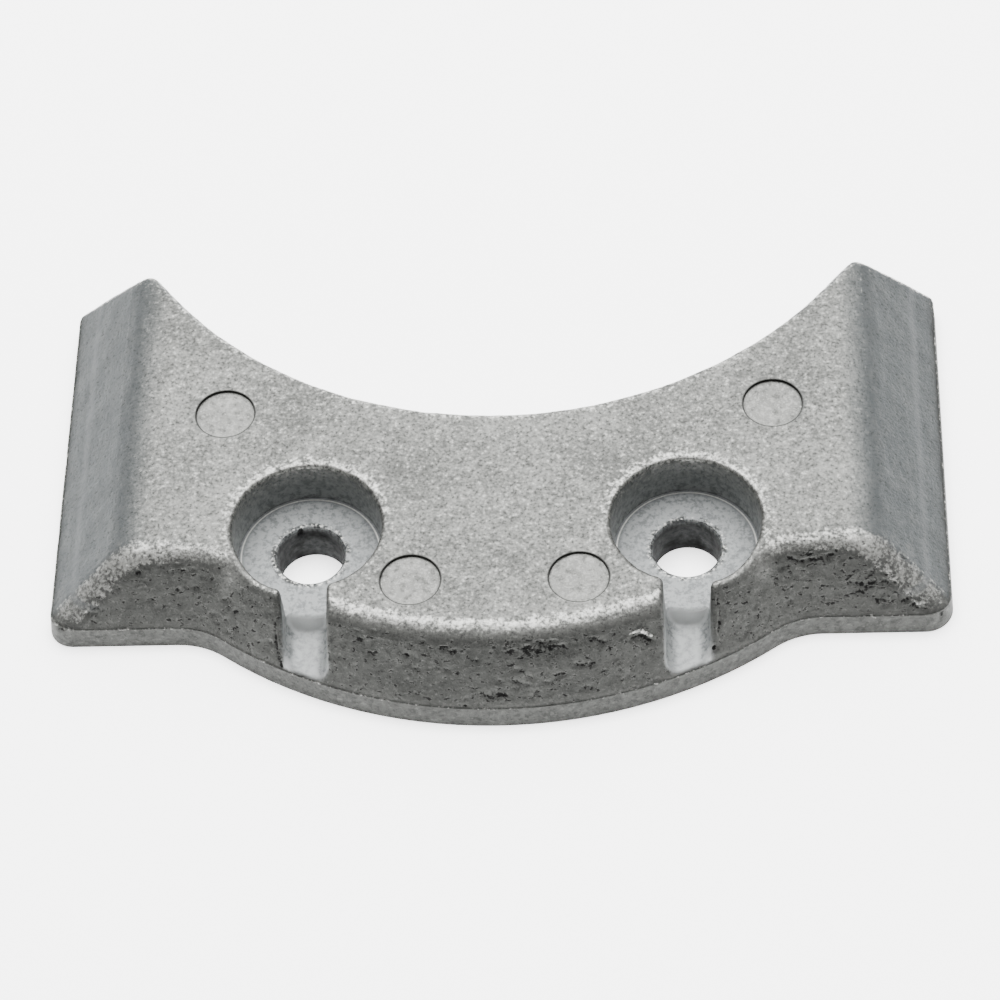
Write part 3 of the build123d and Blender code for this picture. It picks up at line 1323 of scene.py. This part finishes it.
@dataclass
class Pitting:
    """The pits in the front wall and the brow; lengths in millimetres.

    Attributes:
        seed: Start of the random draw.
        count: Number of small pits.
        wall_odds: How likely a small pit is on the wall.
        cluster_odds: How much likelier it is in a thick patch.
        radius: Smallest and largest radius of a small pit.
        cluster_edge: Where a thick patch starts, as a share of its thickest.
        cluster_growth: How much larger a small pit is in one.
        depth: Its depth, as a share of its radius.
        spread: How far it is drawn out along x, y and z.
        dark: How dark the painted shade of a small pit is, from and to.
        deep_radius: Smallest and largest radius of a deep pit.
        deep_half: Half its length, from and to.
        deep_drop: How far one end may lie over the other.
        deep_depth: Its depth.
        deep_dark: How dark its painted shade is.
        deep_pits: Middles of the deep pits.
        clusters: Thick patches of pits: x, height, and reach along both.
    """

    seed: int = 5
    count: int = 200
    wall_odds: float = 0.5
    cluster_odds: float = 3.0
    radius: tuple[float, float] = (0.22, 0.42)
    cluster_edge: float = 0.3
    cluster_growth: float = 1.2
    depth: float = 0.3
    spread: tuple[float, float, float] = (0.45, 0.15, 0.15)
    dark: tuple[float, float] = (0.3, 0.9)
    deep_radius: tuple[float, float] = (0.38, 0.5)
    deep_half: tuple[float, float] = (0.2, 0.6)
    deep_drop: float = 0.2
    deep_depth: float = 0.12
    deep_dark: float = 0.95
    deep_pits: tuple[tuple[float, float, float], ...] = (
        (4.5, -21.0, 6.8),
        (8.4, -20.6, 6.7),
        (0.8, -22.4, 4.8),
        (-0.8, -22.5, 4.6),
        (-5.3, -19.0, 9.9),
        (-6.6, -18.6, 10.3),
        (1.7, -19.2, 9.9),
        (4.3, -18.8, 10.3),
        (8.5, -18.5, 10.0),
        (14.0, -17.7, 9.6),
        (-11.4, -18.7, 9.0),
        (-6.2, -20.3, 7.7),
        (11.0, -19.7, 7.5),
        (11.8, -21.3, 4.7),
        (2.8, -21.4, 6.3),
        (6.0, -19.1, 9.6),
        (7.1, -18.7, 10.0),
        (13.0, -17.6, 10.1),
        (46.5, -7.1, 7.3),
        (47.6, -7.8, 6.1),
        (49.1, -7.1, 7.2),
        (50.2, -8.4, 5.1),
        (38.5, -5.5, 10.7),
        (41.1, -5.0, 10.7),
        (43.7, -5.0, 10.5),
        (53.4, -8.5, 5.0),
        (48.2, -7.4, 6.8),
        (-17.5, -16.7, 9.7),
        (-45.9, -7.4, 6.7),
        (-34.4, -10.0, 7.1),
    )
    clusters: tuple[tuple[float, float, float, float], ...] = (
        (4.8, 9.9, 4.8, 1.0),
        (48.5, 6.9, 4.0, 1.6),
        (41.0, 10.4, 4.0, 0.8),
    )

    def patches(self, x: np.ndarray, z: np.ndarray) -> np.ndarray:
        """Gives how thick the pits stand, by place across and height."""
        return sum(np.exp(-(((x - a) / w) ** 2) - ((z - b) / h) ** 2) for a, b, w, h in self.clusters)

    def scatter(self, points: np.ndarray, masks: dict[Mask, np.ndarray]) -> list[Flaw]:
        """Makes the deep pits and scatters the small ones.

        Args:
            points: Vertices.
            masks: Where each finish shows.

        Returns:
            The pits.
        """
        draw = np.random.default_rng(self.seed)
        wall, cluster = masks[Mask.WALL], masks[Mask.CLUSTER]
        odds = self.wall_odds * wall + self.cluster_odds * cluster
        chosen = draw.choice(len(points), self.count, replace=False, p=odds / odds.sum())
        pits = []
        for x, y, z in self.deep_pits:
            half = float(draw.uniform(*self.deep_half))
            drop = float(draw.uniform(-self.deep_drop, self.deep_drop))
            ends = ((x - half, y, z - drop), (x + half, y, z + drop))
            radius = float(draw.uniform(*self.deep_radius))
            pits.append(Flaw(*ends, radius, self.deep_depth, self.deep_dark))
        for number in chosen:
            growth = self.cluster_growth if cluster[number] > self.cluster_edge else 1.0
            radius = float(draw.uniform(*self.radius)) * growth
            end = points[number] + draw.normal(size=3) * self.spread
            ends = (tuple(points[number].tolist()), tuple(end.tolist()))
            pits.append(Flaw(*ends, radius, self.depth * radius, float(draw.uniform(*self.dark))))
        return pits


class Gauge(Enum):
    """What is measured at each vertex, to say where a finish belongs; lengths in millimetres."""

    ACROSS = auto()  # distance from the middle plane
    BESIDE_BOLT = auto()  # distance from a bolt's upright plane
    FROM_BOLT = auto()  # distance from a bolt's axis
    FROM_SADDLE = auto()  # distance from the saddle's axis
    BACK = auto()  # distance behind the bolts
    UP = auto()  # height
    TILT = auto()  # degrees from level
    FACES_BACK = auto()  # how far the skin faces back, from -1 to 1
    ROUND = auto()  # how round the skin is, in one over millimetres
    WIDELY_ROUND = auto()  # the same, evened out over a few millimetres


class Zone(Enum):
    """The places on the casting, each with the gauges that rise or fall at its edges."""

    POCKET_WALL = ((Gauge.FROM_BOLT, Rise(10.0, 9.65)),)
    CHANNEL = (
        (Gauge.BESIDE_BOLT, Rise(3.2, 2.85)),
        (Gauge.BACK, Rise(-6.0, -8.0)),
        (Gauge.UP, Rise(3.35, 3.6)),
    )
    MOUTH = ((Gauge.FACES_BACK, Rise(-0.55, -0.70)), (Gauge.BACK, Rise(-17.0, -18.0)))
    BELOW_TOP = ((Gauge.UP, Rise(12.2, 11.8)),)
    NECK = ((Gauge.BESIDE_BOLT, Rise(3.3, 2.9)), (Gauge.BACK, Rise(-7.5, -8.5)))
    FLOOR = ((Gauge.UP, Rise(6.2, 6.0)), (Gauge.UP, Rise(5.3, 5.6)), (Gauge.TILT, Rise(60.0, 30.0)))
    # the middle of the trough, where painted light goes
    LIT_TROUGH = ((Gauge.UP, Rise(4.6, 3.9)), (Gauge.BESIDE_BOLT, Rise(2.7, 1.0)))
    STEP = ((Gauge.TILT, Rise(20.0, 45.0)), (Gauge.FACES_BACK, Rise(-0.3, -0.6)))
    BORE = ((Gauge.FROM_BOLT, Rise(5.0, 4.7)), (Gauge.TILT, Rise(50.0, 75.0)))
    SADDLE = ((Gauge.FROM_SADDLE, Rise(57.6, 57.0)),)
    BULGE = ((Gauge.FACES_BACK, Rise(0.1, -0.15)), (Gauge.BACK, Rise(-6.0, -9.0)))
    EAR = (
        (Gauge.ACROSS, Rise(34.0, 37.0)),
        (Gauge.BACK, Rise(-1.0, -3.5)),
        (Gauge.FACES_BACK, Rise(-0.08, -0.30)),
    )
    WALL = ((Gauge.TILT, Rise(30.0, 50.0)), (Gauge.UP, Rise(3.3, 3.7)))
    # where the painted shade of the front wall deepens a little, just under the brow
    UNDER_BROW = ((Gauge.UP, Rise(6.4, 9.8, 0.10)), (Gauge.UP, Rise(11.6, 9.8)))
    # where painted shade darkens the flanks, by their tilt
    FLANK_SHADE = ((Gauge.ACROSS, Rise(36.0, 46.0)), (Gauge.TILT, Rise(2.0, 32.0)))
    LIP = ((Gauge.UP, Rise(3.6, 3.3)), (Gauge.FACES_BACK, Rise(0.6, 0.3)))
    # the lip's top edge, where a painted highlight line runs
    LIP_EDGE = ((Gauge.UP, Rise(3.0, 3.2, 0.4)), (Gauge.UP, Rise(3.4, 3.2)))
    BROW = ((Gauge.TILT, Rise(1.0, 14.0, 0.82)), (Gauge.TILT, Rise(44.0, 14.0)))
    RIDGE = ((Gauge.WIDELY_ROUND, Rise(0.04, 0.20, 0.3)), (Gauge.UP, Rise(3.4, 4.4)))
    POCKET_RING = (
        (Gauge.FROM_BOLT, Rise(9.8, 10.5, 0.75)),
        (Gauge.FROM_BOLT, Rise(12.2, 10.5)),
        (Gauge.UP, Rise(12.0, 12.4)),
    )
    # makes the pocket rim's painted highlight stronger behind the bolt
    BEHIND_BOLT = ((Gauge.BACK, Rise(-2.0, 6.0, 0.65)),)
    RIM = ((Gauge.ROUND, Rise(0.5, 1.2, 0.7)), (Gauge.BACK, Rise(1.0, 7.0)))
    CORNER = (
        (Gauge.WIDELY_ROUND, Rise(0.09, 0.28, 0.66)),
        (Gauge.ACROSS, Rise(33.0, 37.0)),
        (Gauge.BACK, Rise(4.0, -1.0)),
        (Gauge.UP, Rise(3.2, 4.2)),
    )
    ABOVE_LIP = ((Gauge.UP, Rise(2.0, 3.0)),)
    OFF_GROUND = ((Gauge.UP, Rise(0.0, 0.6)),)
    TOP = ((Gauge.UP, Rise(12.44, 12.49)),)

    def share(self, gauges: dict[Gauge, np.ndarray]) -> np.ndarray:
        """Gives how much of the zone each vertex has."""
        return math.prod(rise.over(gauges[gauge]) for gauge, rise in self.value)


@dataclass
class Casting:
    """The anode: one casting with two bolt pockets, each with a relief channel to the front.

    Lengths are in millimetres.

    Attributes:
        bolt_side: How far each bolt stands from the middle.
        saddle_middle: Where the saddle's axis stands behind the bolts.
        pins: Where the pin marks stand: across from the middle, and behind the bolts.
        flat_area: Smallest flat that is tiled anew, in square millimetres.
        shortest: Shorter edges are merged before the skin is cut finer.
        thin_rounds: How many times they are looked for.
        most_bend: Roundest bend that counts in the evened-out one, in one over millimetres.
        bend_rounds: How often that is evened out.
        mask_rounds: How often the masks are evened out.
        wave_seed: Start of the draw of the long waves of the cast skin.
        wave_size: Their width.
        swell: Their height.
        lump_seed: Start of the draw of the short lumps of the cast skin.
        lump_size: Their width.
        lumps: Their height.
        layers: Layers of noise in both.
        pocket_calm: How much of this relief the pockets lack.
        top_calm: How much of the waves and of the lumps the top lacks.
        ring_base: How bright the painted highlight on a pocket's rim is before the bolt, against behind
            it.
        wall_shade: How strongly painted shade darkens the front wall.
        lip_shade: How strongly painted shade darkens the lip.
        flaw_reach: How far from its start a flaw is looked at.
        tiling: How fine the skin is cut.
        pitting: The pits in the front.
        flaws: Marks that stand in places of their own.
    """

    SHARP: ClassVar[tuple[Mask, ...]] = (Mask.BOLT_GAP, Mask.PIN_GAP, Mask.HOLLOW_SHADE, Mask.FLOOR)

    bolt_side: float = BOLT_SIDE
    saddle_middle: float = SADDLE_MIDDLE
    pins: tuple[tuple[float, float], ...] = ((36.8, 19.15), (11.0, -9.15))
    flat_area: float = 30.0
    shortest: float = 0.3
    thin_rounds: int = 2
    most_bend: float = 0.4
    bend_rounds: int = 10
    mask_rounds: int = 2
    wave_seed: int = 11
    wave_size: float = 4.5
    swell: float = 0.055
    lump_seed: int = 12
    lump_size: float = 1.5
    lumps: float = 0.035
    layers: int = 2
    pocket_calm: float = 0.85
    top_calm: tuple[float, float] = (0.5, 0.3)
    ring_base: float = 0.35
    # painted shade on the front wall and on the lip
    wall_shade: float = 0.98
    lip_shade: float = 1.15
    flaw_reach: float = 8.0
    tiling: Tiling = field(default_factory=Tiling)
    pitting: Pitting = field(default_factory=Pitting)
    # the dark flaws are painted shade in pits, nicks and grooves; the lines beside each channel are the
    # painted shadow of its burr; the two raised ones get a painted highlight
    flaws: tuple[Flaw, ...] = (
        Flaw((28.3, -15.5, 4.7), (28.5, -15.4, 4.8), 0.55, 0.30, 1.0),
        Flaw((-26.5, 4.4, 5.8), (-26.7, 4.2, 4.9), 0.60, 0.25, 1.0),
        Flaw((-25.9, 10.1, 12.4), (-26.1, 14.4, 12.5), 0.32, 0.04, 0.70),
        Flaw((-23.9, 12.1, 12.5), (-23.1, 11.2, 12.5), 0.60, 0.03, 0.70),
        Flaw((17.6, -16.5, 9.9), (18.9, -16.1, 9.8), 0.38, -0.06, -0.8),
        Flaw((18.9, -16.1, 9.8), (20.2, -16.2, 8.9), 0.38, -0.06, -0.8),
        Flaw((17.9, -16.8, 9.3), (19.1, -16.5, 9.2), 0.48, 0.12, 1.0),
        Flaw((19.1, -16.5, 9.2), (20.1, -16.7, 8.3), 0.48, 0.12, 1.0),
        Flaw((-29.0, -12.4, 8.5), (-28.9, -14.4, 5.8), 0.40, 0.08, 0.75),
        Flaw((-28.9, -14.4, 5.8), (-28.3, -16.4, 3.5), 0.40, 0.08, 0.75),
        Flaw((28.9, -11.2, 10.2), (29.2, -12.6, 8.1), 0.40, 0.08, 0.75),
        Flaw((29.2, -12.6, 8.1), (29.0, -14.0, 6.3), 0.40, 0.08, 0.75),
        Flaw((-58.2, -9.4, 3.2), (-58.0, -9.5, 3.2), 0.70, 0.15, 0.9),
        Flaw((58.3, -9.1, 2.7), (58.3, -9.1, 2.5), 0.70, 0.15, 0.9),
    )

    def build(self, node: bpy.types.Object) -> bpy.types.Object:
        """Makes the dressed casting from the plain one.

        Args:
            node: The plain casting.

        Returns:
            The dressed casting, in the same place.
        """
        skin = SkinMesh.from_object(node, self.flat_area)
        low, high = skin.points.min(axis=0), skin.points.max(axis=0)
        for _ in range(self.thin_rounds):
            skin.thin_out(self.shortest)
        skin.refine(self.tiling)
        lift = skin.lift_lines()
        gauges = self.measure(skin, lift)
        masks = self.masks(gauges, skin.points)
        for mask in Mask:
            if mask not in self.SHARP:
                masks[mask] = skin.soften(masks[mask], self.mask_rounds)
        skin.displace(lift, self.relief(skin.points, gauges, masks), low, high)
        piece = skin.to_object("anode_casting", masks)
        log.info("casting: %d faces", len(skin.faces))
        return piece

    def measure(self, skin: SkinMesh, lift: np.ndarray) -> dict[Gauge, np.ndarray]:
        """Reads every gauge at each vertex.

        Args:
            skin: The skin.
            lift: Normals at its vertices.

        Returns:
            The readings.
        """
        x, y, z = skin.points.T
        beside = np.abs(x) - self.bolt_side
        bend = skin.bend()
        return {
            Gauge.ACROSS: np.abs(x),
            Gauge.BESIDE_BOLT: np.abs(beside),
            Gauge.FROM_BOLT: np.hypot(beside, y),
            Gauge.FROM_SADDLE: np.hypot(x, y - self.saddle_middle),
            Gauge.BACK: y,
            Gauge.UP: z,
            Gauge.TILT: np.degrees(np.arccos(np.clip(lift[:, 2], -1.0, 1.0))),
            Gauge.FACES_BACK: lift[:, 1],
            Gauge.ROUND: bend,
            Gauge.WIDELY_ROUND: skin.soften(np.clip(bend, 0.0, self.most_bend), self.bend_rounds),
        }

    def masks(self, gauges: dict[Gauge, np.ndarray], points: np.ndarray) -> dict[Mask, np.ndarray]:
        """Says which finish the skin has at each vertex, painted light and shade among them.

        Args:
            gauges: The readings there.
            points: The vertices.

        Returns:
            Numbers from 0 to 1 for each finish, and the distances that the rings are drawn by.
        """
        zone = {zone: zone.share(gauges) for zone in Zone}
        channel = zone[Zone.CHANNEL] * (1.0 - zone[Zone.MOUTH])
        pocket = np.maximum(zone[Zone.POCKET_WALL], channel) * zone[Zone.BELOW_TOP]
        outer = 1.0 - pocket
        front = np.maximum(zone[Zone.BULGE], zone[Zone.EAR]) * outer
        wall = front * zone[Zone.WALL]
        solid = 1.0 - zone[Zone.SADDLE]
        lip = zone[Zone.LIP] * outer * solid
        # painted highlight on the pocket rims, stronger on the far side that faces the light
        ring = zone[Zone.POCKET_RING] * (self.ring_base + zone[Zone.BEHIND_BOLT])
        ridge = zone[Zone.RIDGE] * solid * outer * (1.0 - front)
        # ridges and rims burnished by rubbing, with painted highlights where edges catch the light
        worn_and_lit = (ridge, front * zone[Zone.BROW], ring, zone[Zone.RIM], zone[Zone.CORNER])
        wear_and_highlight = np.maximum.reduce(worn_and_lit) * zone[Zone.ABOVE_LIP]
        # painted shade on the front wall, a little deeper under the brow
        sooted = self.wall_shade * wall + zone[Zone.UNDER_BROW] * wall
        x, y, z = points.T
        return {
            # plus a painted highlight line along the lip's top edge
            Mask.WEAR_AND_HIGHLIGHT: np.maximum(wear_and_highlight, zone[Zone.LIP_EDGE] * lip),
            # painted shade on the front wall and the lip
            Mask.SOOTED: np.maximum(sooted, self.lip_shade * lip),
            Mask.CLUSTER: self.pitting.patches(x, z) * wall,
            Mask.FLOOR: zone[Zone.FLOOR] * (1.0 - zone[Zone.NECK]),
            # painted light on the middle of the trough and on the step
            Mask.LIT_TROUGH: channel * zone[Zone.LIT_TROUGH],
            Mask.STEP: channel * zone[Zone.STEP],
            Mask.BOLT_GAP: gauges[Gauge.FROM_BOLT],
            Mask.PIN_GAP: np.minimum.reduce([np.hypot(np.abs(x) - a, y - b) for a, b in self.pins]),
            # painted shade on the flanks, kept off the front
            Mask.FLANK_SHADE: zone[Zone.FLANK_SHADE] * (1.0 - front),
            Mask.BORE: zone[Zone.BORE],
            Mask.POCKET: pocket,
            # filled with the painted shade of the pits and flaws
            Mask.HOLLOW_SHADE: np.zeros(len(points)),
            Mask.WALL: wall,
        }

    def relief(
        self, points: np.ndarray, gauges: dict[Gauge, np.ndarray], masks: dict[Mask, np.ndarray]
    ) -> np.ndarray:
        """Works out how far each vertex stands off the true surface.

        Args:
            points: Vertices.
            gauges: The readings there.
            masks: Where each finish shows; the painted shade of the dark flaws and the painted
                highlight of the shining ones are added to it.

        Returns:
            Heights.
        """
        calm = Zone.TOP.share(gauges)
        waves, lumps = (
            Grain(seed).layered(points, size, self.layers) * height * (1.0 - top * calm)
            for seed, size, height, top in (
                (self.wave_seed, self.wave_size, self.swell, self.top_calm[0]),
                (self.lump_seed, self.lump_size, self.lumps, self.top_calm[1]),
            )
        )
        rough = Zone.OFF_GROUND.share(gauges) * (1.0 - self.pocket_calm * masks[Mask.POCKET])
        height = rough * (waves + lumps - self.lumps / 2.0)
        for flaw in self.pitting.scatter(points, masks) + list(self.flaws):
            far = np.linalg.norm(points - np.array(flaw.start), axis=1)
            near = np.nonzero(far < self.flaw_reach)[0]
            share = flaw.share(points[near])
            height[near] -= share * flaw.depth
            # dark flaws add painted shade, shining ones a painted highlight
            shown = masks[Mask.HOLLOW_SHADE if flaw.dark > 0.0 else Mask.WEAR_AND_HIGHLIGHT]
            shown[near] = np.maximum(shown[near], share * abs(flaw.dark))
        return height


@dataclass
class Studio:
    """Floor, lights and camera round the part.

    Attributes:
        target: Point that the camera looks at, in metres.
        azimuth: The camera's turn from -Y towards +X, in degrees.
        elevation: Its height over the floor, in degrees.
        roll: Its roll, in degrees.
        distance: Its distance from the target, in metres.
        lens: Focal length, in millimetres.
        sensor: Width of the sensor, in millimetres.
        floor_half: Half the floor's width, in metres.
        floor_colour: Grey of the floor.
        floor_glow: Light that the floor gives by itself.
        light_place: Where the overhead light hangs, in metres.
        light_size: Its width, in metres.
        light_power: Its power, in watts.
        surround: Strength of the dim light from all round.
        wash_place: Where the floor's own light hangs, in metres.
        wash_size: Its width, in metres.
        wash_power: Its power, in watts.
        clip: Nearest and farthest distance that the camera sees, in metres.
        floor_roughness: Roughness of the floor.
    """

    target: tuple[float, float, float] = (0.00052, 0.00362, 0.01246)
    azimuth: float = 4.883
    elevation: float = 52.441
    roll: float = -4.993
    distance: float = 0.54492
    lens: float = 148.64
    sensor: float = 36.0
    floor_half: float = 1.5
    floor_colour: float = 0.95
    floor_glow: float = 1.5
    light_place: tuple[float, float, float] = (0.0, 0.55, 1.1)
    light_size: float = 2.0
    light_power: float = 68.0
    surround: float = 0.18
    wash_place: tuple[float, float, float] = (0.0, 0.35, 1.3)
    wash_size: float = 1.0
    wash_power: float = 56.0
    clip: tuple[float, float] = (0.01, 20.0)
    floor_roughness: float = 0.9

    def build_camera(self) -> bpy.types.Object:
        """Makes the camera and hands it to the scene.

        Returns:
            The camera.
        """
        turn, rise, roll = (math.radians(v) for v in (self.azimuth, self.elevation, self.roll))
        level = math.cos(rise)
        back = Vector((math.sin(turn) * level, -math.cos(turn) * level, math.sin(rise)))
        right = (-back).cross(Vector((0, 0, 1))).normalized()
        up = right.cross(-back)
        turned_right = math.cos(roll) * right + math.sin(roll) * up
        turned_up = -math.sin(roll) * right + math.cos(roll) * up
        data = bpy.data.cameras.new("camera")
        data.lens, data.sensor_width = self.lens, self.sensor
        data.clip_start, data.clip_end = self.clip
        camera = bpy.data.objects.new("camera", data)
        axes = Matrix((turned_right, turned_up, back)).transposed().to_4x4()
        camera.matrix_world = Matrix.Translation(Vector(self.target) + back * self.distance) @ axes
        bpy.context.scene.collection.objects.link(camera)
        bpy.context.scene.camera = camera
        return camera

    def build_floor(self) -> bpy.types.Object:
        """Lays the pale floor.

        Returns:
            The floor.
        """
        half = self.floor_half
        mesh = bpy.data.meshes.new("floor")
        corners = [(-half, -half, 0), (half, -half, 0), (half, half, 0), (-half, half, 0)]
        mesh.from_pydata(corners, [], [(0, 1, 2, 3)])
        floor = bpy.data.objects.new("floor", mesh)
        bpy.context.scene.collection.objects.link(floor)
        recipe = Recipe("floor_white")
        recipe.finish(
            {
                "Base Color": (self.floor_colour,) * 3,
                "Roughness": self.floor_roughness,
                "Emission Color": WHITE,
                "Emission Strength": self.floor_glow,
            }
        )
        mesh.materials.append(recipe.material)
        return floor

    def build_lights(self, floor: bpy.types.Object) -> None:
        """Hangs one large soft light over and behind the part, one for the floor, in a dim surround.

        Args:
            floor: The floor, which has a light of its own.
        """
        self.hang("overhead", self.light_place, self.light_size, self.light_power)
        wash = self.hang("floor_wash", self.wash_place, self.wash_size, self.wash_power)
        lit = bpy.data.collections.new("floor_wash_receivers")
        lit.objects.link(floor)
        wash.light_linking.receiver_collection = lit
        world = bpy.data.worlds.new("surround")
        world.use_nodes = True
        sky = world.node_tree.nodes["Background"]
        sky.inputs["Color"].default_value = (*WHITE, 1.0)
        sky.inputs["Strength"].default_value = self.surround
        bpy.context.scene.world = world

    @staticmethod
    def hang(
        name: str, place: tuple[float, float, float], size: float, power: float
    ) -> bpy.types.Object:
        """Hangs a square light that faces the middle of the floor.

        Args:
            name: Its name.
            place: Where it hangs, in metres.
            size: Its width, in metres.
            power: Its power, in watts.

        Returns:
            The light.
        """
        data = bpy.data.lights.new(name, "AREA")
        data.shape, data.size, data.energy = "SQUARE", size, power
        light = bpy.data.objects.new(name, data)
        light.location = place
        light.rotation_mode = "QUATERNION"
        light.rotation_quaternion = (-Vector(place)).to_track_quat("-Z", "Y")
        bpy.context.scene.collection.objects.link(light)
        return light


def main() -> None:
    """Builds the casting and the studio."""
    logging.basicConfig(level=logging.INFO, format="%(name)s: %(message)s")
    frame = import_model()
    studio = Studio()
    studio.build_camera()
    log.info("camera: in place")
    floor = studio.build_floor()
    log.info("floor: laid")
    studio.build_lights(floor)
    log.info("light: hung")
    piece = Casting().build(frame["nodes"][NODE])
    piece.data.materials.append(CastMetal().build())
    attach(piece, "root")
    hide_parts(NODE)


if __name__ == "__main__":
    main()
